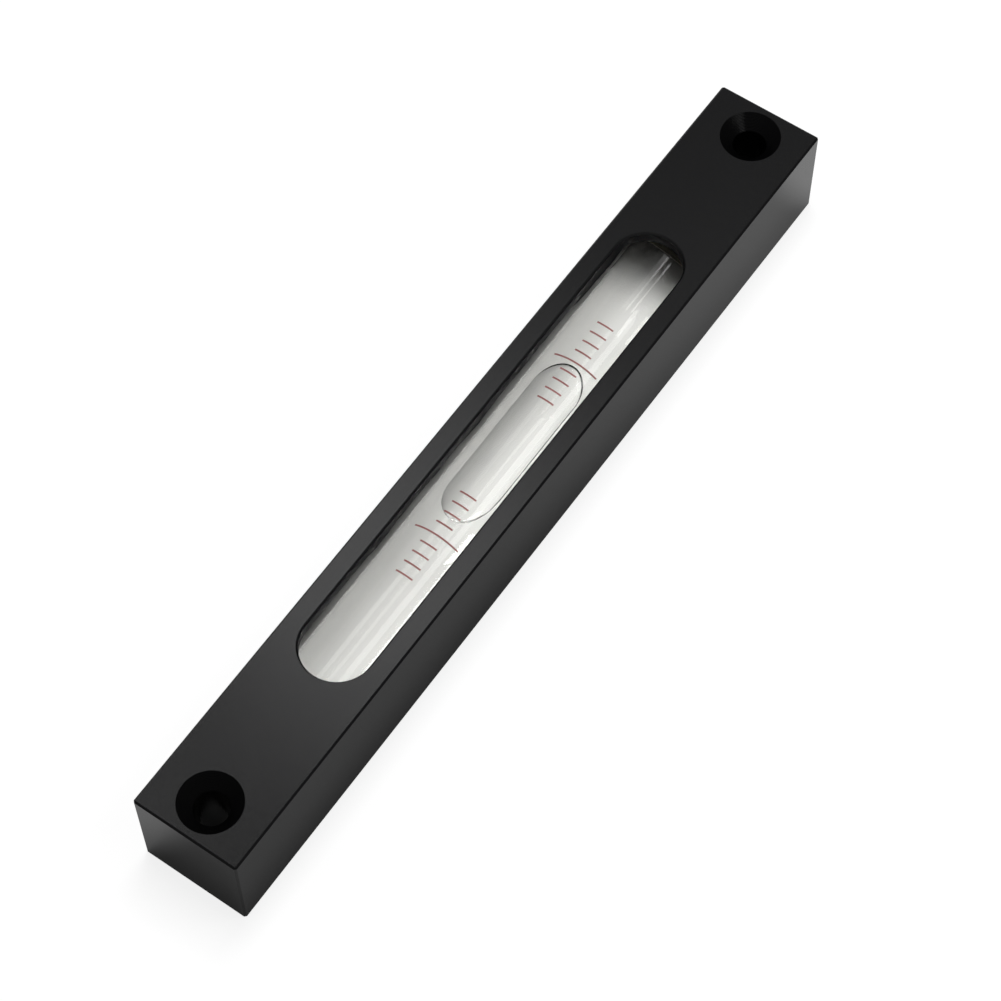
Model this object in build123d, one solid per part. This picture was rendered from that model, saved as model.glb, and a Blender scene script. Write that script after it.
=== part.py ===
from build123d import *
import os
from math import asin, cos, degrees, sin

os.makedirs("parts", exist_ok=True)

# Machinist level: a square aluminium bar with a ground glass vial let in from below and seen
# through a slot in its top. Millimetres, +Z up. The origin is the middle of the base, +X runs
# along the bar to its far end, and the other end is the near one.

# Driving dimensions of the vial, which the rest of the bar is built round
VIAL_LENGTH = 101.0
VIAL_DIAMETER = 14.0
VIAL_WALL = 1.3
VIAL_END_ROUND = 0.4  # fire-polished lip at each end of the tube
VIAL_SHIFT = 1.9  # how far the set vial sits off the bar's middle, towards the far end
BORE_RISE = 0.04  # the bore is ground to a barrel, this much larger in radius at its middle

# Glass plugs that close the bore, each in a ring of cement
PLUG_LENGTH = 3.0
PLUG_SET_IN = 0.3
PLUG_CHAMFER = 0.2
CEMENT_THICKNESS = 0.2

# Bubble, where it lies in the photograph, and the spirit round it
BUBBLE_LENGTH = 31.8
BUBBLE_WIDTH = 7.1
BUBBLE_DEPTH = 3.9
BUBBLE_NOSE = 5.5  # length of each rounded end
BUBBLE_EDGE_RADIUS = 2.0
BUBBLE_EDGE_SHARE = 0.9  # the edge radius is at most this share of the nose's own radius
BUBBLE_SHIFT = 2.1  # off the vial's middle, towards the far end
BUBBLE_GAP = 0.1  # to the glass above and the spirit below
BUBBLE_END_GAP = 0.5  # left to each plug at the end of its travel

# Fired enamel lines on the glass
LINE_SPACING = 2.0
LINE_WIDTH = 0.27
LINE_THICKNESS = 0.05
LINE_GAP = 0.03  # kept between the enamel and the glass
MAJOR_LINE_PLACE = 18.0  # each long line from the vial's middle
MAJOR_LINE_CHORD = 7.6
SHORT_LINE_CHORD = 2.9
SHORT_LINES_EACH_SIDE = 4
GRADUATION_TURN = 2.8  # degrees that the set vial is turned about its axis, towards the right

# Bar, from the vial outwards
POCKET_SIDE_CLEARANCE = 0.3
POCKET_END_CLEARANCE = 1.1
POCKET_CORNER_RADIUS = 1.5
SIDE_WALL = 1.65
LIP_THICKNESS = 2.0
LIP_SIDE_OVERHANG = 1.65
LIP_END_OVERHANG = 8.25
LIP_CLEARANCE = 0.25  # from the lip down to the top of the glass
WINDOW_CHAMFER = 0.3
BAR_CHAMFER = 0.3

# Plaster bedding round the lower half of the vial
BED_FLOOR = 0.45
BED_RISE = 0.8  # above the vial's axis
BED_GAP = 0.02

# Cover let into the base, and its four countersunk screws
COVER_SET_IN = 0.1
COVER_SKIN = 0.1  # plate left above a screw's head
COVER_LEDGE = 6.5
COVER_GAP = 0.1
SCREW_DIAMETER = 1.6
SCREW_LENGTH = 4.0
SCREW_HEAD_DIAMETER = 3.0
SCREW_SINK = 0.1
SCREW_HOLE_CLEARANCE = 0.1
SCREW_EDGE_DISTANCE = 2.7
SCREW_SLOT_WIDTH = 0.4
SCREW_SLOT_DEPTH = 0.35
TAP_CLEARANCE = 0.03
TAP_RUN_OUT = 0.5

# Two fixing holes for M5 countersunk screws
FIXING_HOLE_DIAMETER = 5.3
COUNTERSINK_DIAMETER = 9.6
COUNTERSINK_RIM = 1.2  # metal left between the countersink and the bar's end
FIXING_HOLE_LAND = 6.25  # metal left between the cover's recess and the hole
FIXING_HOLE_CHAMFER = 0.3

OVERRUN = 1.0  # how far every cutting tool runs past the metal

# Sizes that follow
vial_radius = VIAL_DIAMETER / 2
bore_radius = vial_radius - VIAL_WALL
bore_half_length = VIAL_LENGTH / 2 - PLUG_SET_IN - PLUG_LENGTH
pocket_width = VIAL_DIAMETER + 2 * POCKET_SIDE_CLEARANCE
pocket_length = VIAL_LENGTH + 2 * (VIAL_SHIFT + POCKET_END_CLEARANCE)
window_width = pocket_width - 2 * LIP_SIDE_OVERHANG
window_length = pocket_length - 2 * LIP_END_OVERHANG
cover_length = pocket_length + 2 * COVER_LEDGE
cover_width = pocket_width - 2 * COVER_GAP
recess_length = cover_length + 2 * COVER_GAP
screw_head_height = (SCREW_HEAD_DIAMETER - SCREW_DIAMETER) / 2
cover_thickness = SCREW_SINK + screw_head_height + COVER_SKIN
cover_top = COVER_SET_IN + cover_thickness
vial_axis_height = cover_top + BED_FLOOR + vial_radius
lip_underside = vial_axis_height + vial_radius + LIP_CLEARANCE
bed_top = vial_axis_height + BED_RISE
bar_width = pocket_width + 2 * SIDE_WALL
bar_height = lip_underside + LIP_THICKNESS
fixing_hole_spacing = recess_length + FIXING_HOLE_DIAMETER + 2 * FIXING_HOLE_LAND
bar_length = fixing_hole_spacing + COUNTERSINK_DIAMETER + 2 * COUNTERSINK_RIM
screw_place = pocket_length / 2 + COVER_LEDGE / 2
screw_side_place = cover_width / 2 - SCREW_EDGE_DISTANCE
screw_hole_radius = SCREW_DIAMETER / 2 + SCREW_HOLE_CLEARANCE
spirit_level = vial_axis_height + bore_radius - BUBBLE_DEPTH
bubble_place = VIAL_SHIFT + BUBBLE_SHIFT
bubble_reach = bore_half_length - BUBBLE_LENGTH / 2 - BUBBLE_END_GAP

ENDS = {"near": -1, "far": 1}
SIDES = {"right": -1, "left": 1}


def upright_block(length, width, low, high, corner_radius=0):
    """A block standing from low to high, centred on the bar, with rounded upright corners."""
    if corner_radius:
        outline = RectangleRounded(length, width, corner_radius)
    else:
        outline = Rectangle(length, width)
    return Pos(0, 0, low) * extrude(outline, amount=high - low)


def upright_rod(radius, x, y, low, high):
    """A rod standing from low to high at x, y."""
    return Pos(x, y, low) * extrude(Circle(radius), amount=high - low)


def upright_cone(low_radius, high_radius, x, y, low, high):
    """A cone standing from low to high at x, y."""
    base = Plane(origin=(x, y, low))
    top = Plane(origin=(x, y, high))
    return loft([base * Circle(low_radius), top * Circle(high_radius)])


def lying_rod(radius, start, end):
    """A rod along the vial's axis from start to end, both measured from the vial's middle."""
    place = Plane(origin=(VIAL_SHIFT + start, 0, vial_axis_height), x_dir=(0, 1, 0), z_dir=(1, 0, 0))
    return extrude(place * Circle(radius), amount=end - start)


def lying_barrel(end_radius, rise, half_length):
    """A barrel on the vial's axis, whose side is one shallow parabola.

    The parabola's middle control point stands twice as high above its ends as its crown does.
    """
    left = (-half_length, end_radius)
    right = (half_length, end_radius)
    side = Bezier(left, (0, end_radius + 2 * rise), right)
    walls = Polyline(right, (half_length, 0), (-half_length, 0), left)
    section = Plane.XZ * make_face([side, walls])
    return Pos(VIAL_SHIFT, 0, vial_axis_height) * revolve(section, Axis.X)


def level_body():
    """The bar, with its pocket, window, cover recess, tapped holes and fixing holes."""
    bar = upright_block(bar_length, bar_width, 0, bar_height)
    bar = chamfer(bar.edges(), BAR_CHAMFER)
    bar -= upright_block(recess_length, pocket_width, -OVERRUN, cover_top, POCKET_CORNER_RADIUS)
    bar -= upright_block(pocket_length, pocket_width, -OVERRUN, lip_underside, POCKET_CORNER_RADIUS)
    window = SlotOverall(window_length, window_width)
    bar -= Pos(0, 0, lip_underside - OVERRUN) * extrude(window, amount=LIP_THICKNESS + 2 * OVERRUN)
    wide_window = SlotOverall(window_length + 2 * WINDOW_CHAMFER, window_width + 2 * WINDOW_CHAMFER)
    chamfer_foot = Plane(origin=(0, 0, bar_height - WINDOW_CHAMFER))
    chamfer_top = Plane(origin=(0, 0, bar_height))
    bar -= loft([chamfer_foot * window, chamfer_top * wide_window])
    for end in ENDS.values():
        bar -= fixing_hole(end * fixing_hole_spacing / 2)
        for side in SIDES.values():
            bar -= tapped_hole(end * screw_place, side * screw_side_place)
    return bar


def fixing_hole(x):
    """A through hole with a 90 degree countersink above and a small chamfer below."""
    hole_radius = FIXING_HOLE_DIAMETER / 2
    sink_radius = COUNTERSINK_DIAMETER / 2
    sink_foot = bar_height - (sink_radius - hole_radius)
    foot_radius = hole_radius + FIXING_HOLE_CHAMFER
    hole = upright_rod(hole_radius, x, 0, -OVERRUN, bar_height)
    hole += upright_cone(hole_radius, sink_radius, x, 0, sink_foot, bar_height)
    hole += upright_rod(sink_radius, x, 0, bar_height, bar_height + OVERRUN)
    hole += upright_cone(foot_radius, hole_radius, x, 0, 0, FIXING_HOLE_CHAMFER)
    return hole


def tapped_hole(x, y):
    """A blind hole in the ledge above the cover."""
    depth = SCREW_SINK + COVER_SET_IN + SCREW_LENGTH + TAP_RUN_OUT
    return upright_rod(SCREW_DIAMETER / 2 + TAP_CLEARANCE, x, y, 0, depth)


def bottom_cover():
    """The plate that closes the pocket, countersunk for its screws from below."""
    corner_radius = POCKET_CORNER_RADIUS - COVER_GAP
    plate = upright_block(cover_length, cover_width, COVER_SET_IN, cover_top, corner_radius)
    sink_radius = SCREW_HEAD_DIAMETER / 2 + SCREW_SINK
    sink_top = COVER_SET_IN + sink_radius - screw_hole_radius
    for end in ENDS.values():
        for side in SIDES.values():
            place = (end * screw_place, side * screw_side_place)
            plate -= upright_rod(screw_hole_radius, *place, COVER_SET_IN, cover_top)
            plate -= upright_cone(sink_radius, screw_hole_radius, *place, COVER_SET_IN, sink_top)
    return plate


def cover_screw(x, y):
    """A slotted countersunk screw, head down, seated in the cover's cone."""
    head_face = COVER_SET_IN + SCREW_SINK
    head_foot = head_face + screw_head_height
    screw = upright_cone(SCREW_HEAD_DIAMETER / 2, SCREW_DIAMETER / 2, x, y, head_face, head_foot)
    screw += upright_rod(SCREW_DIAMETER / 2, x, y, head_foot, head_face + SCREW_LENGTH)
    slot = Box(SCREW_HEAD_DIAMETER + 2 * OVERRUN, SCREW_SLOT_WIDTH, 2 * SCREW_SLOT_DEPTH)
    return screw - Pos(x, y, head_face) * slot


def plaster_bed():
    """Plaster cast round the lower half of the vial, as wide and long as the pocket."""
    length = pocket_length - 2 * BED_GAP
    width = pocket_width - 2 * BED_GAP
    corner_radius = POCKET_CORNER_RADIUS - BED_GAP
    bed = upright_block(length, width, cover_top + BED_GAP, bed_top, corner_radius)
    half_length = VIAL_LENGTH / 2 + BED_GAP
    return bed - lying_rod(vial_radius + BED_GAP, -half_length, half_length)


def vial_tube():
    """The glass tube, ground to a barrel between its plugs and straight where they sit."""
    half_length = VIAL_LENGTH / 2
    tube = lying_rod(vial_radius, -half_length, half_length)
    tube = fillet(tube.edges(), VIAL_END_ROUND)
    tube -= lying_rod(bore_radius, -half_length - OVERRUN, half_length + OVERRUN)
    return tube - lying_barrel(bore_radius, BORE_RISE, bore_half_length)


def vial_plug(end):
    """A glass disc in the mouth of the bore, chamfered on both rims."""
    plug = lying_rod(bore_radius - CEMENT_THICKNESS, *plug_span(end))
    return chamfer(plug.edges(), PLUG_CHAMFER)


def plug_cement(end):
    """The ring of cement between a plug and the bore."""
    ring = lying_rod(bore_radius, *plug_span(end))
    return ring - lying_rod(bore_radius - CEMENT_THICKNESS, *plug_span(end))


def plug_span(end):
    """Where a plug starts and ends along the vial."""
    faces = (end * bore_half_length, end * (bore_half_length + PLUG_LENGTH))
    return min(faces), max(faces)


def bubble_prism(growth):
    """The bubble's outline, grown all round, from the spirit's level up past the glass.

    The outline is straight along both sides, with half an ellipse for each end, and its lower
    edge is rounded.
    """
    half_width = BUBBLE_WIDTH / 2 + growth
    nose = BUBBLE_NOSE + growth
    straight = BUBBLE_LENGTH / 2 - BUBBLE_NOSE
    far_nose = EllipticalCenterArc((straight, 0), nose, half_width, start_angle=-90, arc_size=180)
    near_nose = EllipticalCenterArc((-straight, 0), nose, half_width, start_angle=90, arc_size=180)
    left = Line((straight, half_width), (-straight, half_width))
    right = Line((-straight, -half_width), (straight, -half_width))
    outline = make_face([far_nose, left, near_nose, right])
    height = BUBBLE_DEPTH + growth + OVERRUN
    prism = extrude(outline, amount=height)
    nose_radius = half_width ** 2 / nose
    edge_radius = min(BUBBLE_EDGE_RADIUS + growth, nose_radius * BUBBLE_EDGE_SHARE)
    prism = fillet(prism.faces().sort_by(Axis.Z)[0].edges(), edge_radius)
    return Pos(bubble_place, 0, spirit_level - growth) * prism


def bubble():
    """The bubble: flat below, and as round as the bore above."""
    reach = BUBBLE_LENGTH / 2 + OVERRUN
    space = lying_rod(bore_radius - BUBBLE_GAP, BUBBLE_SHIFT - reach, BUBBLE_SHIFT + reach)
    return bubble_prism(0) & space


def spirit_fill():
    """The spirit that fills the bore, with the bubble's hollow in its upper side."""
    fill = lying_barrel(bore_radius, BORE_RISE, bore_half_length)
    return fill - bubble_prism(BUBBLE_GAP)


def enamel_line(x, chord):
    """A line across the glass, as long as its chord says, turned with the vial."""
    inner_radius = vial_radius + LINE_GAP
    outer_radius = inner_radius + LINE_THICKNESS
    half_angle = asin(chord / (2 * outer_radius))
    inner = CenterArc((0, 0), inner_radius, 90 - degrees(half_angle), 2 * degrees(half_angle))
    outer = CenterArc((0, 0), outer_radius, 90 - degrees(half_angle), 2 * degrees(half_angle))
    sides = []
    for hand in SIDES.values():
        y_share, z_share = hand * sin(half_angle), cos(half_angle)
        foot = (inner_radius * y_share, inner_radius * z_share)
        crest = (outer_radius * y_share, outer_radius * z_share)
        sides.append(Line(foot, crest))
    section = make_face([inner, outer, *sides])
    start = VIAL_SHIFT + x - LINE_WIDTH / 2
    place = Plane(origin=(start, 0, vial_axis_height), x_dir=(0, 1, 0), z_dir=(1, 0, 0))
    turned = place * Rot(0, 0, GRADUATION_TURN)
    return extrude(turned * section, amount=LINE_WIDTH)


def graduation():
    """The two long lines and the short lines on both sides of each."""
    lines = {}
    for end_name, end in ENDS.items():
        place = end * MAJOR_LINE_PLACE
        lines[f"major_line_{end_name}"] = enamel_line(place, MAJOR_LINE_CHORD)
        for number in range(1, SHORT_LINES_EACH_SIDE + 1):
            step = end * number * LINE_SPACING
            lines[f"inner_line_{end_name}_{number}"] = enamel_line(place - step, SHORT_LINE_CHORD)
            lines[f"outer_line_{end_name}_{number}"] = enamel_line(place + step, SHORT_LINE_CHORD)
    return lines


nodes = {
    "level_body": level_body(),
    "bottom_cover": bottom_cover(),
    "plaster_bed": plaster_bed(),
    "vial_tube": vial_tube(),
    "spirit_fill": spirit_fill(),
    "bubble": bubble(),
}
for end_name, end in ENDS.items():
    nodes[f"vial_plug_{end_name}"] = vial_plug(end)
    nodes[f"plug_cement_{end_name}"] = plug_cement(end)
    for side_name, side in SIDES.items():
        place = (end * screw_place, side * screw_side_place)
        nodes[f"cover_screw_{end_name}_{side_name}"] = cover_screw(*place)
nodes.update(graduation())

for name, solid in nodes.items():
    export_step(solid, f"parts/{name}.step")

print("bar", bar_length, bar_width, bar_height)
print("window", window_length, window_width, "lip underside", lip_underside)
print("fixing holes", fixing_hole_spacing, "vial axis height", vial_axis_height)
print("bubble travel", -bubble_reach - BUBBLE_SHIFT, bubble_reach - BUBBLE_SHIFT)
print("nodes", len(nodes))
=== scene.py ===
import bmesh
import bpy
import numpy as np
from mathutils import Matrix, Vector


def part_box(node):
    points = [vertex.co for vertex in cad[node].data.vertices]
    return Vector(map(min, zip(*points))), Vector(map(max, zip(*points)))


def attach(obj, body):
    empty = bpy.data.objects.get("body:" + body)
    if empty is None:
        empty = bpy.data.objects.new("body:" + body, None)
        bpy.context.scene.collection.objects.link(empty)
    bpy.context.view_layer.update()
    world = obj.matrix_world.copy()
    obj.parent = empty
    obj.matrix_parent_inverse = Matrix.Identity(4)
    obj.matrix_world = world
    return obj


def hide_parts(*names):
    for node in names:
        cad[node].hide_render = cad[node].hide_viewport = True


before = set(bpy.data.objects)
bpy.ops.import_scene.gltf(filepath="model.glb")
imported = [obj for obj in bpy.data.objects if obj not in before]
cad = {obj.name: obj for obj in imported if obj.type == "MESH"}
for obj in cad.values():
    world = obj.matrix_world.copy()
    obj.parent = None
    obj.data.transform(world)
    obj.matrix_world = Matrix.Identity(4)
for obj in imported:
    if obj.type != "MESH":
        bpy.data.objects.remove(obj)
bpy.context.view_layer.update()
mm = 0.001


# The bar: one length of square aluminium, milled through for the vial, its edges broken and its
# two fixing holes countersunk. It is blasted fine and anodised black, so it has a soft satin sheen,
# and the countersinks keep the rings of the tool that turned them. Their colour is darkened as
# painted shade.

BAR_BLACK = (0.0045, 0.0045, 0.005, 1)
BAR_BLACK_WORN = (0.007, 0.007, 0.0075, 1)
BAR_ROUGHNESS = 0.21
ROUGHNESS_DRIFT = 0.04  # to each side, with the drift of tone
PLAIN_GLOSS = 0.5  # the specular level of the faces
GRAIN_SIZE = 0.12 * mm
DRIFT_SIZE = 20 * mm
DRIFT_ALONG = 0.35  # how little it changes along the bar, next to across
GRAIN_DETAIL = 2.0  # how many finer noises are laid over it
DRIFT_DETAIL = 3.0
BLAST_BUMP = 0.25
BLAST_DEPTH = 0.02 * mm
HOLE_PLACE = 69 * mm
COUNTERSINK_RADIUS = 4.8 * mm
TOOL_RING_PITCH = 0.16 * mm
TOOL_RING_RELIEF = 3.0  # as a multiple of the grain's
MILLED_ROUGHER = 0.35
MILLED_DULLER = 0.3
TURNED_SMOOTHER = 0.07
# Painted shade in the countersinks and screw seats: their colour as a share of the black.
RECESS_SHADE = 0.45
TURNED_DULLER = 0.35
TURNED_FROM = 0.5 * mm  # the base round the holes is as plain as the rest
POCKET_REACH = 53.6 * mm  # just past the ends of the pocket under the slot
POCKET_SIDE = 7.4 * mm  # just past its sides
SLOT_RIM = 17.4 * mm  # the slot's broken edge starts here


def new_finish(name):
    """A material whose node tree holds only its output, with that tree and that output."""
    material = bpy.data.materials.new(name)
    material.use_nodes = True
    tree = material.node_tree
    tree.nodes.clear()
    output = tree.nodes.new("ShaderNodeOutputMaterial")
    return material, tree, output


def feed(tree, socket, value):
    """Gives a socket its value, or links it to the output that the value is."""
    if isinstance(value, bpy.types.NodeSocket):
        tree.links.new(value, socket)
    else:
        socket.default_value = value


def put(tree, kind, settings=(), **sockets):
    """A node of that kind. settings are the node's own, and sockets are values or links by name."""
    node = tree.nodes.new(kind)
    for key, value in dict(settings).items():
        setattr(node, key, value)
    for key, value in sockets.items():
        feed(tree, node.inputs[key.replace("_", " ")], value)
    return node


def work_out(tree, operation, first, second=0.0, third=0.0):
    """The output of a Math node on up to three values or links."""
    node = tree.nodes.new("ShaderNodeMath")
    node.operation = operation
    for socket, value in zip(node.inputs, (first, second, third)):
        feed(tree, socket, value)
    return node.outputs[0]


def between(tree, share, low, high):
    """A colour between two colours, by a share from 0 to 1.

    The Mix node has sockets of the same name for numbers, vectors and colours, so the colours'
    are taken by their place.
    """
    node = tree.nodes.new("ShaderNodeMix")
    node.data_type = "RGBA"
    tree.links.new(share, node.inputs["Factor"])
    low_colour, high_colour = node.inputs[6], node.inputs[7]
    feed(tree, low_colour, low)
    feed(tree, high_colour, high)
    return node.outputs[2]


def spread(tree, value, low, high):
    """A number from low to high, as the given value goes from 0 to 1."""
    return work_out(tree, "MULTIPLY_ADD", value, high - low, low)


def coat(tree, output, relief, bump_strength, depth, **sockets):
    """A Principled surface on the material's output, with that relief as its bump."""
    bump = put(tree, "ShaderNodeBump", Height=relief, Strength=bump_strength, Distance=depth)
    surface = put(tree, "ShaderNodeBsdfPrincipled", Normal=bump.outputs[0], **sockets)
    tree.links.new(surface.outputs[0], output.inputs["Surface"])


def make_grain_group():
    """A fine even grain with slow drifts of tone, both on the piece's own coordinates.

    Grain is the height of a fine noise with finer ones laid over it. Drift is a slow noise
    stretched along the bar, for stains and handling.
    """
    group = bpy.data.node_groups.new("blasted_grain", "ShaderNodeTree")
    for name, default in (("Grain Size", GRAIN_SIZE), ("Drift Size", DRIFT_SIZE)):
        socket = group.interface.new_socket(name, in_out="INPUT", socket_type="NodeSocketFloat")
        socket.default_value = default
    for name in ("Grain", "Drift"):
        group.interface.new_socket(name, in_out="OUTPUT", socket_type="NodeSocketFloat")
    given = group.nodes.new("NodeGroupInput")
    result = group.nodes.new("NodeGroupOutput")
    place = put(group, "ShaderNodeTexCoord").outputs["Object"]
    grain_scale = work_out(group, "DIVIDE", 1.0, given.outputs["Grain Size"])
    drift_scale = work_out(group, "DIVIDE", 1.0, given.outputs["Drift Size"])
    grain = put(group, "ShaderNodeTexNoise", Vector=place, Scale=grain_scale, Detail=GRAIN_DETAIL)
    long = put(group, "ShaderNodeMapping", Vector=place, Scale=(DRIFT_ALONG, 1.0, 1.0))
    drift = put(
        group,
        "ShaderNodeTexNoise",
        Vector=long.outputs["Vector"],
        Scale=drift_scale,
        Detail=DRIFT_DETAIL,
    )
    group.links.new(grain.outputs[0], result.inputs["Grain"])
    group.links.new(drift.outputs[0], result.inputs["Drift"])
    return group


grain_group = make_grain_group()


def tool_rings(tree, x_place, y_place, radius, pitch, lowest):
    """The height of turned rings round mirrored axes, and a mask that is 1 inside the radius.

    The rings are a sine of the distance from the axis at x_place, y_place, taken on the absolute
    coordinates, so that one formula serves both ends and both sides. They start at the lowest
    height.
    """
    place = put(tree, "ShaderNodeTexCoord").outputs["Object"]
    parts = put(tree, "ShaderNodeSeparateXYZ", Vector=place)
    along = work_out(tree, "SUBTRACT", work_out(tree, "ABSOLUTE", parts.outputs["X"]), x_place)
    across = work_out(tree, "SUBTRACT", work_out(tree, "ABSOLUTE", parts.outputs["Y"]), y_place)
    square = work_out(tree, "MULTIPLY_ADD", along, along, work_out(tree, "MULTIPLY", across, across))
    distance = work_out(tree, "SQRT", square)
    wave = work_out(tree, "SINE", work_out(tree, "MULTIPLY", distance, 2 * np.pi / pitch))
    above = work_out(tree, "GREATER_THAN", parts.outputs["Z"], lowest)
    inside = work_out(tree, "MULTIPLY", work_out(tree, "LESS_THAN", distance, radius), above)
    return work_out(tree, "MULTIPLY", wave, inside), inside


def inside_slot(tree):
    """A mask that is 1 inside the slot and the pocket under it, where the walls are as milled."""
    place = put(tree, "ShaderNodeTexCoord").outputs["Object"]
    parts = put(tree, "ShaderNodeSeparateXYZ", Vector=place)
    along = work_out(tree, "LESS_THAN", work_out(tree, "ABSOLUTE", parts.outputs["X"]), POCKET_REACH)
    across = work_out(tree, "LESS_THAN", work_out(tree, "ABSOLUTE", parts.outputs["Y"]), POCKET_SIDE)
    below = work_out(tree, "LESS_THAN", parts.outputs["Z"], SLOT_RIM)
    return work_out(tree, "MULTIPLY", work_out(tree, "MULTIPLY", along, across), below)


def anodised_finish(name, black, worn, rough, slot_change, rings_at):
    """Black anodised aluminium: satin, with a fine grain, slow drifts of tone and tool rings.

    Within the rings' radius its colour is darker, as painted shade. slot_change is how much rougher
    it is within the slot, and how much duller. rings_at is what tool_rings takes.
    """
    material, tree, output = new_finish(name)
    grain = put(tree, "ShaderNodeGroup", {"node_tree": grain_group})
    rings, inside = tool_rings(tree, *rings_at)
    drifting = between(tree, grain.outputs["Drift"], black, worn)
    # Painted shade: inside the tool rings' radius the colour is darker.
    recess_shaded = tuple(share * RECESS_SHADE for share in black[:3]) + (1,)
    low, high = rough - ROUGHNESS_DRIFT, rough + ROUGHNESS_DRIFT
    smooth = spread(tree, grain.outputs["Drift"], low, high)
    slot = inside_slot(tree)
    slot_rougher, slot_duller = slot_change
    milled = work_out(tree, "MULTIPLY_ADD", slot, slot_rougher, smooth)
    in_slot = work_out(tree, "MULTIPLY_ADD", slot, -slot_duller, PLAIN_GLOSS)
    coat(
        tree,
        output,
        work_out(tree, "MULTIPLY_ADD", rings, TOOL_RING_RELIEF, grain.outputs["Grain"]),
        BLAST_BUMP,
        BLAST_DEPTH,
        Base_Color=between(tree, inside, drifting, recess_shaded),
        Roughness=work_out(tree, "MULTIPLY_ADD", inside, -TURNED_SMOOTHER, milled),
        Specular_IOR_Level=work_out(tree, "MULTIPLY_ADD", inside, -TURNED_DULLER, in_slot),
    )
    return material


def finish_cad(names, material):
    """Puts a finish on the CAD nodes of those names."""
    for name in names:
        for slot in cad[name].material_slots:
            slot.material = material


bar_finish = anodised_finish(
    "bar_black",
    BAR_BLACK,
    BAR_BLACK_WORN,
    BAR_ROUGHNESS,
    (MILLED_ROUGHER, MILLED_DULLER),
    (HOLE_PLACE, 0.0, COUNTERSINK_RADIUS, TOOL_RING_PITCH, TURNED_FROM),
)
finish_cad(["level_body"], bar_finish)


# The vial: a glass tube, its ends fire-polished and its bore ground to a slight barrel and filled
# with spirit. It is drawn as one closed skin. Its outside meets air, and the barrel meets spirit,
# so that length has a finish of its own with the smaller step of index between the two.

GLASS_INDEX = 1.473
SPIRIT_INDEX = 1.36
GLASS_TINT = (0.994, 0.994, 0.992, 1)
NO_TINT = (1, 1, 1, 1)
LIP_ROUND = 0.4 * mm
LIP_LEAD = 1.25 * LIP_ROUND  # from the end to the straight outside's first step
BORE_RADIUS = 5.7 * mm
BORE_RISE = 0.04 * mm
PLUG_SEAT = 3.3 * mm
CEMENT_ROOM = 0.02 * mm
VIAL_TURNS = 256
LIP_STEPS = 9
BARREL_STEPS = 49
SAME_POINT = 1e-8  # m
PLAIN_CREASE = 35  # degrees past which an edge shades sharp

vial_low, vial_high = (np.array(corner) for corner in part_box("vial_tube"))
vial_middle = (vial_low + vial_high) / 2
VIAL_RADIUS = (vial_high[2] - vial_low[2]) / 2
VIAL_HALF = (vial_high[0] - vial_low[0]) / 2
VIAL_X, VIAL_Z = vial_middle[0], vial_middle[2]


def skin(name, points, loop_rows, loop_columns, materials, finish_of_row=None, crease=PLAIN_CREASE):
    """A mesh of four-sided faces over a grid of points, one row after the other.

    A looped direction joins its last line to its first. Points that fall together, as at a pole,
    become one, and all the faces are turned to point outwards.
    """
    rows, columns = points.shape[:2]
    number = np.arange(rows * columns).reshape(rows, columns)
    next_row = np.roll(number, -1, axis=0)
    next_column = np.roll(number, -1, axis=1)
    next_both = np.roll(next_row, -1, axis=1)
    faces = np.stack([number, next_row, next_both, next_column], axis=-1)
    faces = faces[: rows if loop_rows else rows - 1, : columns if loop_columns else columns - 1]
    finishes = np.zeros(faces.shape[:2], int)
    if finish_of_row is not None:
        finishes += np.asarray(finish_of_row)[: len(faces), None]
    mesh = bpy.data.meshes.new(name)
    mesh.from_pydata(points.reshape(-1, 3).tolist(), [], faces.reshape(-1, 4).tolist())
    for material in materials:
        mesh.materials.append(material)
    mesh.polygons.foreach_set("material_index", finishes.ravel().astype(np.int32))
    solid = bmesh.new()
    solid.from_mesh(mesh)
    bmesh.ops.remove_doubles(solid, verts=solid.verts, dist=SAME_POINT)
    if solid.calc_volume(signed=True) < 0:
        bmesh.ops.reverse_faces(solid, faces=solid.faces)
    solid.to_mesh(mesh)
    solid.free()
    mesh.polygons.foreach_set("use_smooth", np.ones(len(mesh.polygons), bool))
    mesh.set_sharp_from_angle(angle=np.radians(crease))
    piece = bpy.data.objects.new(name, mesh)
    bpy.context.scene.collection.objects.link(piece)
    return piece


def turned(profile, turns):
    """The grid of a profile of (along, radius) points turned round the vial's axis."""
    angle = np.linspace(0, 2 * np.pi, turns, endpoint=False)
    along, radius = profile[:, 0, None], profile[:, 1, None]
    x = VIAL_X + along + 0 * angle
    y = radius * np.sin(angle)
    z = VIAL_Z + radius * np.cos(angle)
    return np.stack([x, y, z], axis=-1)


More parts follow.
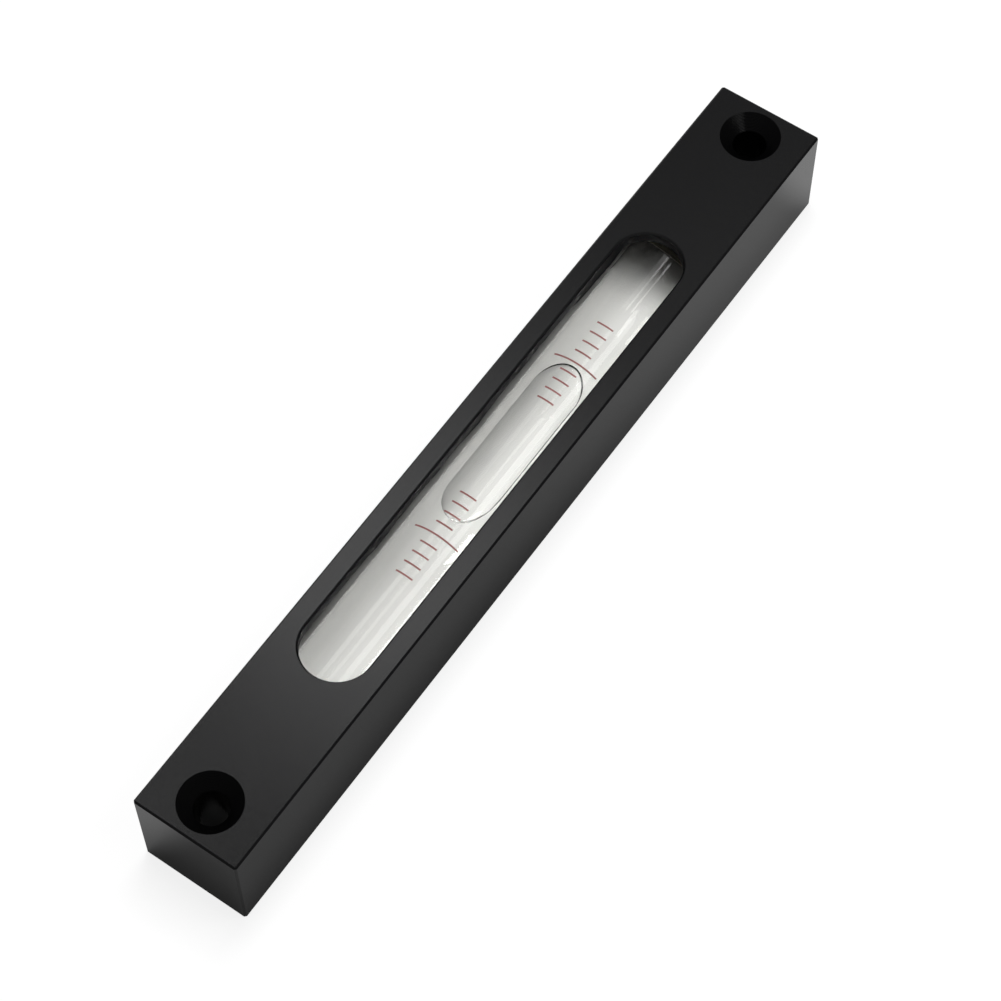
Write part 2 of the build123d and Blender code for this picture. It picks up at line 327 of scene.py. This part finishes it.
def vial_profile():
    """The closed outline of the tube's wall, and which of its steps lie along the barrel.

    The lips are quarter circles, and the outside between them is straight, with a step close to
    each lip so that it shades as straight. The barrel's radius is the bore's, plus a parabola that
    is the rise at the middle and nothing at the plugs.
    """
    quarter = np.linspace(0, np.pi / 2, LIP_STEPS)
    lip_x = VIAL_HALF - LIP_ROUND + LIP_ROUND * np.sin(quarter)
    lip_r = VIAL_RADIUS - LIP_ROUND + LIP_ROUND * np.cos(quarter)
    barrel_half = VIAL_HALF - PLUG_SEAT
    share = np.linspace(1, -1, BARREL_STEPS)
    barrel = np.stack([barrel_half * share, BORE_RADIUS + BORE_RISE * (1 - share**2)], axis=1)
    seat = BORE_RADIUS + CEMENT_ROOM
    far = np.stack([lip_x, lip_r], axis=1)
    near = np.stack([-lip_x, lip_r], axis=1)[::-1]
    far_seat = np.array([[VIAL_HALF, seat], [barrel_half + CEMENT_ROOM, seat]])
    near_seat = far_seat[::-1] * (-1, 1)
    straight = VIAL_HALF - LIP_LEAD
    outside = np.array([[-straight, VIAL_RADIUS], [straight, VIAL_RADIUS]])
    outline = np.concatenate([far, far_seat, barrel, near_seat, near, outside])
    first = len(far) + len(far_seat)
    along_barrel = np.zeros(len(outline), int)
    along_barrel[first : first + len(barrel) - 1] = 1
    return outline, along_barrel


def clear_finish(name, index, tint):
    """A clear glass-like surface of that index, which lets the lamps' light straight through."""
    material, tree, output = new_finish(name)
    glass = put(tree, "ShaderNodeBsdfGlass", Color=tint, Roughness=0.0, IOR=index)
    clear = put(tree, "ShaderNodeBsdfTransparent", Color=tint)
    path = tree.nodes.new("ShaderNodeLightPath")
    mixed = tree.nodes.new("ShaderNodeMixShader")
    tree.links.new(path.outputs["Is Shadow Ray"], mixed.inputs[0])
    tree.links.new(glass.outputs[0], mixed.inputs[1])
    tree.links.new(clear.outputs[0], mixed.inputs[2])
    tree.links.new(mixed.outputs[0], output.inputs["Surface"])
    return material


vial_outline, vial_barrel_steps = vial_profile()
vial = skin(
    "vial_glass",
    turned(vial_outline, VIAL_TURNS),
    loop_rows=True,
    loop_columns=True,
    materials=[
        clear_finish("vial_glass", GLASS_INDEX, GLASS_TINT),
        clear_finish("glass_to_spirit", GLASS_INDEX / SPIRIT_INDEX, NO_TINT),
    ],
    finish_of_row=vial_barrel_steps,
)
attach(vial, "level")
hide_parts("vial_tube", "spirit_fill")


# The graduation: fine lines of dull red enamel, drawn across the top of the glass and fired on, so
# they are thin, have a soft gloss and are a little uneven in tone along each stroke.

ENAMEL_DARK = (0.34, 0.12, 0.115, 1)
ENAMEL_PALE = (0.5, 0.2, 0.19, 1)
ENAMEL_GRAIN = 0.15 * mm
ENAMEL_DRIFT = 1.2 * mm
ENAMEL_ROUGHNESS = 0.4
ENAMEL_BUMP = 0.2
ENAMEL_DEPTH = 0.02 * mm


def clouded_finish(name, sizes, dark, pale, roughness, bump):
    """A fine-grained finish of one material, whose tone drifts from dark to pale.

    sizes are the grain's and the drift's, and bump is the relief's strength and depth.
    """
    material, tree, output = new_finish(name)
    grain_size, drift_size = sizes
    grain = put(
        tree,
        "ShaderNodeGroup",
        {"node_tree": grain_group},
        Grain_Size=grain_size,
        Drift_Size=drift_size,
    )
    tone = between(tree, grain.outputs["Drift"], dark, pale)
    coat(tree, output, grain.outputs["Grain"], *bump, Base_Color=tone, Roughness=roughness)
    return material


enamel_finish = clouded_finish(
    "line_enamel",
    (ENAMEL_GRAIN, ENAMEL_DRIFT),
    ENAMEL_DARK,
    ENAMEL_PALE,
    ENAMEL_ROUGHNESS,
    (ENAMEL_BUMP, ENAMEL_DEPTH),
)
line_names = [name for name in cad if "_line_" in name]
finish_cad(line_names, enamel_finish)


# The bubble: air left in the spirit. Above it is as round as the bore, below it is nearly flat, and
# its rim is the meniscus that the spirit draws up to the glass, fullest round the far nose.

BUBBLE_WIDEST = 3.55 * mm
RIGHT_WIDEST = 3.15 * mm
BUBBLE_NOSE = 5.5 * mm
NOSE_SWELL = 0.3 * mm  # how far the round rim reaches past each nose
BUBBLE_FLOOR = 3.6 * mm  # above the vial's axis
BUBBLE_FILM = 0.06 * mm  # spirit left between the bubble and the bore
SPIRIT_TO_BUBBLE = 0.88  # the step of index, weaker than air's so that the rim stays pale
BELLY_ROUNDING = 4.0
LEFT_ROUNDING = 1.5
LEFT_RIM = (0.1 * mm, 0.0 * mm)  # width and drop of the rounded rim
RIGHT_RIM = (1.1 * mm, 1.5 * mm)
NEAR_RIM = (0.7 * mm, 0.35 * mm)
FAR_RIM = (1.8 * mm, 1.7 * mm)
RIM_CHANGE_START = 7 * mm  # from the bubble's middle
RIM_CHANGE_RUN = 6 * mm
LEFT_RIM_FADE = 1.2
NOSE_STEPS = 129
SIDE_STEPS = 161
RING_STEPS = 61
BUBBLE_CREASE = 80

bubble_low, bubble_high = (np.array(corner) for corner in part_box("bubble"))


def bubble_grid():
    """The bubble's skin, from a spine to its outline below, and back to the spine above.

    The outline has straight sides and two quarters of an ellipse at each end, the right one
    narrower than the left, and every point of it is carried straight in to the spine, a shorter
    line over the vial's axis. The crown is the bore's round less a film, and over the rim's width
    it drops by a quarter of an ellipse. With r the share of the way from the spine, the belly
    rises from the floor to the rim as one less the nth root of 1 - r^n, and n falls towards the
    left. The rim's width and drop go from those of each side to those of each nose, less so on
    the left, by a power of how far to the left the outline's point lies.
    """
    middle = (bubble_low[0] + bubble_high[0]) / 2
    half = (bubble_high[0] - bubble_low[0]) / 2 + NOSE_SWELL
    straight = half - BUBBLE_NOSE
    turn = np.linspace(0, np.pi, NOSE_STEPS)
    nose_x = straight + BUBBLE_NOSE * np.sin(turn)
    nose_y = np.where(turn < np.pi / 2, BUBBLE_WIDEST, RIGHT_WIDEST) * np.cos(turn)
    spine_x = straight + (BUBBLE_NOSE - BUBBLE_WIDEST) * np.sin(turn)
    side_x = np.linspace(-straight, straight, SIDE_STEPS)[1:-1]
    left_y = np.full(len(side_x), BUBBLE_WIDEST)
    right_y = np.full(len(side_x), -RIGHT_WIDEST)
    outline_x = np.concatenate([side_x, nose_x, -side_x, -nose_x])
    outline_y = np.concatenate([left_y, nose_y, right_y, nose_y[::-1]])
    inner_x = np.concatenate([side_x, spine_x, -side_x, -spine_x])
    change = np.clip((np.abs(outline_x) - RIM_CHANGE_START) / RIM_CHANGE_RUN, 0, 1) ** 2
    to_left = np.clip(outline_y / BUBBLE_WIDEST, 0, 1)
    change = change * (1 - to_left**LEFT_RIM_FADE)
    far, on_left = outline_x > 0, outline_y > 0
    width, drop = (
        (1 - change) * np.where(on_left, left, right) + change * np.where(far, far_end, near_end)
        for left, right, near_end, far_end in zip(LEFT_RIM, RIGHT_RIM, NEAR_RIM, FAR_RIM)
    )
    share = np.sin(np.linspace(0, np.pi / 2, RING_STEPS))[:, None]
    x = middle + inner_x + share * (outline_x - inner_x)
    y = share * outline_y
    crown_radius = BORE_RADIUS - BUBBLE_FILM
    ceiling = VIAL_Z + np.sqrt(crown_radius**2 - y**2)
    over_rim = np.clip(1 - (1 - share) * BUBBLE_WIDEST / width, 0, 1)
    crown = ceiling - drop * (1 - np.sqrt(1 - over_rim**2))
    rim = VIAL_Z + np.sqrt(crown_radius**2 - outline_y**2) - drop
    floor = VIAL_Z + BUBBLE_FLOOR
    rounding = BELLY_ROUNDING + (LEFT_ROUNDING - BELLY_ROUNDING) * to_left
    rising = 1 - (1 - share**rounding) ** (1 / rounding)
    belly = floor + (rim - floor) * rising
    below = np.stack([x, y, belly], axis=-1)
    above = np.stack([x, y, crown], axis=-1)[::-1]
    return np.concatenate([below, above[1:]])


bubble = skin(
    "air_bubble",
    bubble_grid(),
    loop_rows=False,
    loop_columns=True,
    materials=[clear_finish("spirit_to_air", SPIRIT_TO_BUBBLE, NO_TINT)],
    crease=BUBBLE_CREASE,
)
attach(bubble, "bubble")
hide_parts("bubble")


# The plugs: a glass disc in each mouth of the bore, set in a ring of cement. The disc has spirit
# or shade on both sides, so its step of index is the small one between glass and spirit.

PLUG_TINT = (0.95, 0.97, 0.96, 1)
CEMENT_DARK = (0.42, 0.38, 0.3, 1)
CEMENT_PALE = (0.62, 0.58, 0.48, 1)
CEMENT_GRAIN = 0.2 * mm
CEMENT_CLOUD = 4 * mm
CEMENT_ROUGHNESS = 0.85
CEMENT_BUMP = 0.4
CEMENT_DEPTH = 0.05 * mm

plug_finish = clear_finish("plug_glass", GLASS_INDEX / SPIRIT_INDEX, PLUG_TINT)
cement_finish = clouded_finish(
    "plug_cement",
    (CEMENT_GRAIN, CEMENT_CLOUD),
    CEMENT_DARK,
    CEMENT_PALE,
    CEMENT_ROUGHNESS,
    (CEMENT_BUMP, CEMENT_DEPTH),
)
finish_cad(["vial_plug_near", "vial_plug_far"], plug_finish)
finish_cad(["plug_cement_near", "plug_cement_far"], cement_finish)


# The bedding: white plaster pressed in round the vial to over its middle, higher on the left, which
# sets hard and holds it true. It is matt and a little grainy, and its top edge is uneven. Its colour
# is darkened as painted shade along the bar's walls and at the far end, under the window's lips.

BED_CLEARANCE = 0.02 * mm
BED_STEPS = 721
GROOVE_STEPS = 65
LEFT_RISE = 1.85 * mm
RIGHT_RISE = 0.25 * mm
LEFT_HUMPS = (  # place along the bar, half width and height of each, in mm
    (-43, 3.0, 0.3), (-38, 2.6, -0.1), (-28, 4.5, 0.55), (-20, 3.2, -0.4), (-11.5, 3, 0.5),
    (-6, 1.8, -0.2), (-1, 2.2, 0.15), (5, 3.2, -0.5), (13, 2.4, 0.1), (17, 2, -0.1),
    (26, 4.0, 0.55), (33.5, 3.0, -0.5), (41, 6.0, -1.2),
)
RIGHT_HUMPS = (
    (-36, 5, 0.3), (-24, 3, -0.2), (-10, 4, 0.4), (3, 3, -0.3), (16, 5, 0.4), (31, 4, -0.2),
)
RIPPLE = 0.05 * mm
RIPPLE_TURNS = (1.9, 4.3, 9.7)  # radians in each mm
RIPPLE_SHARES = (1.0, 0.6, 0.35)
PLASTER_DULL = (0.72, 0.72, 0.69, 1)
PLASTER_WHITE = (0.92, 0.92, 0.89, 1)
PLASTER_GRAIN = 0.3 * mm
PLASTER_CLOUD = 8 * mm
PLASTER_ROUGHNESS = 0.9
PLASTER_GLOSS = 0.2
PLASTER_BUMP = 0.3
PLASTER_DEPTH = 0.08 * mm
STREAK_WIDTH = 0.9 * mm
STREAK_ALONG = 0.03  # how little they change along the bar, next to across
STREAK_DETAIL = 2.0
STREAK_SHARE = 0.5
CLOUD_SHARE = 0.4
# Painted shade under the window's lips: the plaster's colour towards the bar's walls.
SHADED_DULL = (0.3, 0.3, 0.29, 1)
SHADED_WHITE = (0.42, 0.42, 0.41, 1)
WALL_SHADE_START = 6.6 * mm
WALL_SHADE_END = 7.4 * mm
# Painted shade at the far end, under the window's far lip.
END_SHADE = (0.08, 0.08, 0.075, 1)
END_SHADE_START = 45.5 * mm
END_SHADE_END = 52 * mm

bed_low, bed_high = (np.array(corner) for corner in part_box("plaster_bed"))


def plaster_heights(x, side):
    """The height of the bedding's top edge along the bar.

    It is the CAD bed's height and the side's rise over it, with rounded humps and hollows, each a
    bell curve, and a fine unevenness of three sines whose lengths don't match. side is 1 on the
    left and -1 on the right.
    """
    rise, humps = (LEFT_RISE, LEFT_HUMPS) if side > 0 else (RIGHT_RISE, RIGHT_HUMPS)
    height = np.full(len(x), bed_high[2] + rise)
    for place, width, swell in humps:
        height += swell * mm * np.exp(-(((x / mm - place) / width) ** 2))
    starts = (side, 0, 0)
    waves = zip(RIPPLE_SHARES, RIPPLE_TURNS, starts)
    wave = sum(share * np.sin(x / mm * turns + start) for share, turns, start in waves)
    return height + RIPPLE * wave


def bed_grid():
    """The bedding's section carried along the bar: a groove round the glass, two lips and a base.

    On each side the groove stops where it meets the top edge, so its angle from the vial's foot
    is the arc cosine of how far the edge is below the axis over the groove's radius.
    """
    groove = VIAL_RADIUS + BED_CLEARANCE
    x = np.linspace(bed_low[0], bed_high[0], BED_STEPS)
    left, right = plaster_heights(x, 1), plaster_heights(x, -1)
    left_angle = np.arccos((VIAL_Z - left) / groove)[:, None]
    right_angle = -np.arccos((VIAL_Z - right) / groove)[:, None]
    angle = left_angle + (right_angle - left_angle) * np.linspace(0, 1, GROOVE_STEPS)
    groove_y = groove * np.sin(angle)
    groove_z = VIAL_Z - groove * np.cos(angle)
    left_y, right_y = bed_high[1] + 0 * x, bed_low[1] + 0 * x
    base = bed_low[2] + 0 * x
    y = np.column_stack([left_y, left_y, groove_y, right_y, right_y])
    z = np.column_stack([base, left, groove_z, right, base])
    return np.stack([x[:, None] + 0 * y, y, z], axis=-1)


def plaster_finish():
    """White plaster: matt and grainy, in faint clouds and streaks, painted shade by the walls and far
    end.
    """
    material, tree, output = new_finish("plaster_white")
    grain = put(
        tree,
        "ShaderNodeGroup",
        {"node_tree": grain_group},
        Grain_Size=PLASTER_GRAIN,
        Drift_Size=PLASTER_CLOUD,
    )
    place = put(tree, "ShaderNodeTexCoord").outputs["Object"]
    drawn = put(tree, "ShaderNodeMapping", Vector=place, Scale=(STREAK_ALONG, 1.0, 1.0))
    streak = put(
        tree,
        "ShaderNodeTexNoise",
        Vector=drawn.outputs["Vector"],
        Scale=1 / STREAK_WIDTH,
        Detail=STREAK_DETAIL,
    )
    streaked = work_out(tree, "MULTIPLY", streak.outputs[0], STREAK_SHARE)
    cloud = work_out(tree, "MULTIPLY_ADD", grain.outputs["Drift"], CLOUD_SHARE, streaked)
    clean = between(tree, cloud, PLASTER_DULL, PLASTER_WHITE)
    wall_shaded_tone = between(tree, cloud, SHADED_DULL, SHADED_WHITE)
    parts = put(tree, "ShaderNodeSeparateXYZ", Vector=place)
    # Painted shade: the colour is darker towards the bar's walls, under the lips.
    by_wall = put(
        tree,
        "ShaderNodeMapRange",
        Value=work_out(tree, "ABSOLUTE", parts.outputs["Y"]),
        From_Min=WALL_SHADE_START,
        From_Max=WALL_SHADE_END,
    )
    # Painted shade: the colour darkens towards the far end, under the far lip.
    at_end = put(
        tree,
        "ShaderNodeMapRange",
        Value=parts.outputs["X"],
        From_Min=END_SHADE_START,
        From_Max=END_SHADE_END,
    )
    walled = between(tree, by_wall.outputs[0], clean, wall_shaded_tone)
    coat(
        tree,
        output,
        grain.outputs["Grain"],
        PLASTER_BUMP,
        PLASTER_DEPTH,
        Base_Color=between(tree, at_end.outputs[0], walled, END_SHADE),
        Roughness=PLASTER_ROUGHNESS,
        Specular_IOR_Level=PLASTER_GLOSS,
    )
    return material


def close_ends(piece):
    """Closes a loft's two open ends with one face each."""
    solid = bmesh.new()
    solid.from_mesh(piece.data)
    rims = [edge for edge in solid.edges if edge.is_boundary]
    bmesh.ops.holes_fill(solid, edges=rims, sides=0)
    bmesh.ops.recalc_face_normals(solid, faces=solid.faces)
    solid.to_mesh(piece.data)
    solid.free()


bed = skin(
    "plaster_bed_cast",
    bed_grid(),
    loop_rows=False,
    loop_columns=True,
    materials=[plaster_finish()],
)
close_ends(bed)
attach(bed, "level")
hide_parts("plaster_bed")


# The cover: a thin plate let into the base over the pocket, cut from sheet and anodised with the
# bar. Four small blackened steel screws hold it, their heads turned and slotted.

COVER_BLACK = (0.012, 0.012, 0.013, 1)
COVER_BLACK_WORN = (0.018, 0.018, 0.019, 1)
COVER_ROUGHNESS = 0.48
COVER_RING_PITCH = 0.1 * mm
SCREW_X = 56.75 * mm
SCREW_Y = 4.5 * mm
SCREW_HEAD_RADIUS = 1.6 * mm
SCREW_RING_PITCH = 0.07 * mm
SCREW_RING_RELIEF = 2.0
SCREW_BLACK = (0.035, 0.035, 0.038, 1)
BARE_STEEL = (0.22, 0.21, 0.2, 1)
RUBBED_START = 0.5  # as shares of the drift of tone
RUBBED_END = 0.75
SCREW_METALLIC = 0.8
SCREW_ROUGHNESS = 0.38
SCREW_BUMP = 0.3
UNDER_ALL = -1 * mm  # under the base, so that the rings reach it

cover_finish = anodised_finish(
    "cover_black",
    COVER_BLACK,
    COVER_BLACK_WORN,
    COVER_ROUGHNESS,
    (0.0, 0.0),
    (SCREW_X, SCREW_Y, SCREW_HEAD_RADIUS, COVER_RING_PITCH, UNDER_ALL),
)
finish_cad(["bottom_cover"], cover_finish)


def screw_steel_finish():
    """Blackened steel: mostly metal, with turned rings on the head and rubbed spots of bare steel."""
    material, tree, output = new_finish("screw_steel")
    grain = put(tree, "ShaderNodeGroup", {"node_tree": grain_group})
    heads = (SCREW_X, SCREW_Y, SCREW_HEAD_RADIUS, SCREW_RING_PITCH, UNDER_ALL)
    rings = tool_rings(tree, *heads)[0]
    rubbed = put(
        tree,
        "ShaderNodeMapRange",
        Value=grain.outputs["Drift"],
        From_Min=RUBBED_START,
        From_Max=RUBBED_END,
    )
    coat(
        tree,
        output,
        work_out(tree, "MULTIPLY_ADD", rings, SCREW_RING_RELIEF, grain.outputs["Grain"]),
        SCREW_BUMP,
        BLAST_DEPTH,
        Base_Color=between(tree, rubbed.outputs[0], SCREW_BLACK, BARE_STEEL),
        Metallic=SCREW_METALLIC,
        Roughness=SCREW_ROUGHNESS,
    )
    return material


screw_names = [name for name in cad if name.startswith("cover_screw")]
finish_cad(screw_names, screw_steel_finish())


# The floor: a plain matt sheet that the level stands on. To the camera it is lifted to white, but
# for the level's shadow. What mirrors or passes light sees it nearly dark, with a painted pool of
# light off the bar's near left corner, and another in a wide painted glow off its far right one.

FLOOR_HALF = 6.0
FLOOR_GREY = 0.35
CAMERA_LIFT = 0.82
GLOSS_LIFT = 0.03
# Painted light: glowing pools on the floor, seen only in gloss and through glass.
NEAR_LIGHT_POOL = ((-0.086, 0.017, 0.0), 7 * mm, 15.5 * mm, 0.28)  # middle, full to, none from, lift
FAR_LIGHT_POOL = ((0.084, -0.011, 0.0), 5 * mm, 13 * mm, 0.36)
FAR_GLOW = ((0.084, -0.011, 0.0), 10 * mm, 100 * mm, 0.16)


def light_pool_lift(tree, middle, full, none, lift):
    """The lift of a round painted pool of light, which falls by a smooth step from full to none."""
    place = put(tree, "ShaderNodeTexCoord").outputs["Object"]
    apart = put(tree, "ShaderNodeVectorMath", {"operation": "DISTANCE"})
    tree.links.new(place, apart.inputs[0])
    apart.inputs[1].default_value = middle
    fall = put(
        tree,
        "ShaderNodeMapRange",
        {"interpolation_type": "SMOOTHSTEP"},
        Value=apart.outputs["Value"],
        From_Min=full,
        From_Max=none,
        To_Min=lift,
        To_Max=0.0,
    )
    return fall.outputs[0]


def floor_finish():
    """Matt grey, lifted by light of its own for rays from the camera, from a gloss or through glass."""
    material, tree, output = new_finish("floor_white")
    matt = put(tree, "ShaderNodeBsdfDiffuse", Color=(FLOOR_GREY, FLOOR_GREY, FLOOR_GREY, 1))
    path = tree.nodes.new("ShaderNodeLightPath")
    gloss = work_out(
        tree, "MAXIMUM", path.outputs["Is Glossy Ray"], path.outputs["Is Transmission Ray"]
    )
    gloss_lift = GLOSS_LIFT
    # Painted light: pools of glow off the bar's corners, for gloss and glass only.
    for patch in (NEAR_LIGHT_POOL, FAR_LIGHT_POOL, FAR_GLOW):
        gloss_lift = work_out(tree, "ADD", light_pool_lift(tree, *patch), gloss_lift)
    to_camera = work_out(tree, "MULTIPLY", path.outputs["Is Camera Ray"], CAMERA_LIFT)
    strength = work_out(tree, "MULTIPLY_ADD", gloss, gloss_lift, to_camera)
    lift = put(tree, "ShaderNodeEmission", Strength=strength)
    both = tree.nodes.new("ShaderNodeAddShader")
    tree.links.new(matt.outputs[0], both.inputs[0])
    tree.links.new(lift.outputs[0], both.inputs[1])
    tree.links.new(both.outputs[0], output.inputs["Surface"])
    return material


floor_mesh = bpy.data.meshes.new("floor")
corners = [(-1, -1), (1, -1), (1, 1), (-1, 1)]
floor_mesh.from_pydata([(x * FLOOR_HALF, y * FLOOR_HALF, 0) for x, y in corners], [], [(0, 1, 2, 3)])
floor_mesh.materials.append(floor_finish())
floor = bpy.data.objects.new("floor", floor_mesh)
bpy.context.scene.collection.objects.link(floor)


# The light: a soft lamp overhead for the vial, three small ones over the left for the bar's sheen, a
# wide one to the right, and three narrow ones that streak the glass at the far end. The sky is grey,
# and darker at the horizon, but white to the camera.

BAR_MIDDLE = (0.0, 0.0, 0.01)
OVERHEAD = ((0.16, 0.09, 0.98), 0.6, (0.28, 0.13), 1.22)  # way, distance and size in m, watts
SHEEN_BRIGHT = ((0.29, 0.31, 0.905), 0.48, (0.078, 0.09), 0.052)
SHEEN_SOFT = ((0.41, 0.3, 0.865), 0.5, (0.055, 0.09), 0.016)
SHEEN_NEAR = ((0.064, 0.373, 0.925), 0.469, (0.05, 0.06), 0.0125)
FILL_RIGHT = ((0.22, -0.5, 0.84), 0.8, (0.5, 0.2), 0.68)
STREAK_WIDE = ((0.531, 0.076, 0.844), 0.575, (0.025, 0.115), 0.011)
STREAK_THIN = ((0.531, -0.029, 0.847), 0.575, (0.025, 0.04), 0.0095)
STREAK_RIGHT = ((0.531, -0.235, 0.814), 0.575, (0.025, 0.036), 0.01)
WORLD_GREY = 0.26
WORLD_HORIZON = 0.05
SKY_WHITE = (1, 1, 1, 1)
HORIZON_HEIGHT = 0.1
ZENITH_HEIGHT = 0.9


def soft_lamp(name, direction, distance, size, power, in_gloss=True):
    """A flat lamp in that direction from the bar's middle, with its length along the bar."""
    lamp = bpy.data.lights.new(name, "AREA")
    lamp.shape = "RECTANGLE"
    lamp.size, lamp.size_y = size
    lamp.energy = power
    holder = bpy.data.objects.new(name, lamp)
    way = np.array(direction) / np.linalg.norm(direction)
    holder.location = (np.array(BAR_MIDDLE) + way * distance).tolist()
    across = np.cross(way, (1.0, 0.0, 0.0))
    across /= np.linalg.norm(across)
    along = np.cross(across, way)
    holder.rotation_euler = Matrix(np.stack([along, across, way], axis=1).tolist()).to_euler()
    holder.visible_camera = False
    holder.visible_glossy = in_gloss
    bpy.context.scene.collection.objects.link(holder)


soft_lamp("overhead", *OVERHEAD, in_gloss=False)
soft_lamp("sheen_bright", *SHEEN_BRIGHT)
soft_lamp("sheen_soft", *SHEEN_SOFT)
soft_lamp("sheen_near", *SHEEN_NEAR)
soft_lamp("fill_right", *FILL_RIGHT)
soft_lamp("streak_wide", *STREAK_WIDE)
soft_lamp("streak_thin", *STREAK_THIN)
soft_lamp("streak_right", *STREAK_RIGHT)

world = bpy.data.worlds.new("studio")
world.use_nodes = True
sky = world.node_tree
sky_way = put(sky, "ShaderNodeTexCoord").outputs["Generated"]
sky_parts = put(sky, "ShaderNodeSeparateXYZ", Vector=sky_way)
rise = put(
    sky,
    "ShaderNodeMapRange",
    Value=sky_parts.outputs["Z"],
    From_Min=HORIZON_HEIGHT,
    From_Max=ZENITH_HEIGHT,
)
grey = spread(sky, rise.outputs[0], WORLD_HORIZON, WORLD_GREY)
sky_path = sky.nodes.new("ShaderNodeLightPath")
seen = work_out(sky, "MAXIMUM", grey, sky_path.outputs["Is Camera Ray"])
sky.links.new(seen, sky.nodes["Background"].inputs["Strength"])
sky.nodes["Background"].inputs["Color"].default_value = SKY_WHITE
bpy.context.scene.world = world
bpy.context.scene.view_settings.view_transform = "Standard"


# The camera: where the photograph was taken from, close above the near right, worked out from the
# bar's visible edges. The picture is square, 1001 by 1001.

CAMERA_PLACE = np.array([-177.606, -127.027, 385.259]) * mm
CAMERA_RIGHT = Vector((0.572699, -0.819747, -0.005529))
CAMERA_UP = Vector((0.713853, 0.495379, 0.494988))
CAMERA_LENS = 104.554
SENSOR_WIDTH = 36
CLIP_START = 10 * mm

camera_data = bpy.data.cameras.new("camera")
camera_data.lens = CAMERA_LENS
camera_data.sensor_width = SENSOR_WIDTH
camera_data.clip_start = CLIP_START
camera = bpy.data.objects.new("camera", camera_data)
axes = Matrix((CAMERA_RIGHT, CAMERA_UP, CAMERA_RIGHT.cross(CAMERA_UP))).transposed()
camera.matrix_world = Matrix.Translation(CAMERA_PLACE.tolist()) @ axes.to_4x4()
bpy.context.scene.collection.objects.link(camera)
bpy.context.scene.camera = camera

bpy.context.view_layer.update()
